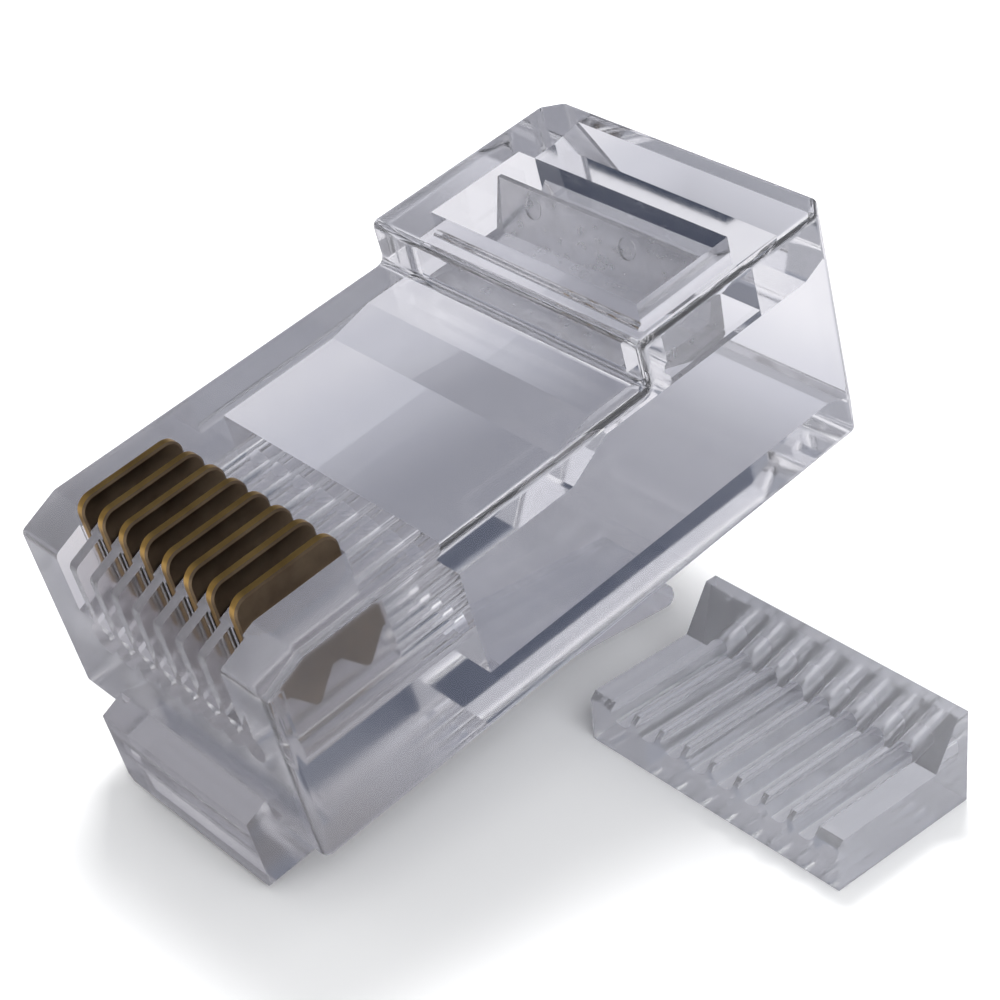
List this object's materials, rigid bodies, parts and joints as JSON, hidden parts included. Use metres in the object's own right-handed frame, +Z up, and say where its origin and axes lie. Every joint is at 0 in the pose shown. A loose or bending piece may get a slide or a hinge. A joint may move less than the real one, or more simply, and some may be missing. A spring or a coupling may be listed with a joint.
{
  "type": "rj45 modular plug",
  "caption": "Uncrimped clear modular plug with a latch and a strain relief bar, lying contacts up, and its grooved load bar beside it.",
  "frame": {"origin": "on the table, under the centre of the box round the plug and its load bar", "axes": "+Z up; +Y from the plug's nose to its cable entry, level; +X from the plug to the load bar; the plug lies contacts up, tilted 10.3 degrees nose down on its latch"},
  "size_m": [0.0202, 0.022, 0.0141],
  "materials": {
    "clear_plastic": "clear moulded polycarbonate, glossy, with a faint lavender tint",
    "contact_gold": "thin gold plating on phosphor bronze, brownish",
    "load_bar_plastic": "clear moulded polycarbonate, slightly cloudy"
  },
  "bodies": {
    "plug": {"housing": "clear_plastic", "load_bar": "load_bar_plastic"},
    "latch": {"latch": "clear_plastic"},
    "strain_relief_bar": {"strain_relief_bar": "clear_plastic"},
    "contact_1": {"contact_1": "contact_gold"},
    "contact_2": {"contact_2": "contact_gold"},
    "contact_3": {"contact_3": "contact_gold"},
    "contact_4": {"contact_4": "contact_gold"},
    "contact_5": {"contact_5": "contact_gold"},
    "contact_6": {"contact_6": "contact_gold"},
    "contact_7": {"contact_7": "contact_gold"},
    "contact_8": {"contact_8": "contact_gold"}
  },
  "joints": [
    {"name": "latch_flex", "type": "hinge", "parent": "plug", "child": "latch", "pos_m": [-0.0043, -0.0084, 0.00125], "axis": [1, 0, 0], "range_deg": [0, 12], "stiffness_Nm_per_rad": 0.25},
    {"name": "strain_relief_press", "type": "hinge", "parent": "plug", "child": "strain_relief_bar", "pos_m": [-0.0043, 0.00388, 0.01115], "axis": [1, 0, 0], "range_deg": [-30, 0]},
    {"name": "contact_1_press", "type": "slide", "parent": "plug", "child": "contact_1", "axis": [0, 0.1783, -0.984], "range_m": [0, 0.00133]},
    {"name": "contact_2_press", "type": "slide", "parent": "plug", "child": "contact_2", "axis": [0, 0.1783, -0.984], "range_m": [0, 0.00133]},
    {"name": "contact_3_press", "type": "slide", "parent": "plug", "child": "contact_3", "axis": [0, 0.1783, -0.984], "range_m": [0, 0.00133]},
    {"name": "contact_4_press", "type": "slide", "parent": "plug", "child": "contact_4", "axis": [0, 0.1783, -0.984], "range_m": [0, 0.00133]},
    {"name": "contact_5_press", "type": "slide", "parent": "plug", "child": "contact_5", "axis": [0, 0.1783, -0.984], "range_m": [0, 0.00133]},
    {"name": "contact_6_press", "type": "slide", "parent": "plug", "child": "contact_6", "axis": [0, 0.1783, -0.984], "range_m": [0, 0.00133]},
    {"name": "contact_7_press", "type": "slide", "parent": "plug", "child": "contact_7", "axis": [0, 0.1783, -0.984], "range_m": [0, 0.00133]},
    {"name": "contact_8_press", "type": "slide", "parent": "plug", "child": "contact_8", "axis": [0, 0.1783, -0.984], "range_m": [0, 0.00133]}
  ]
}
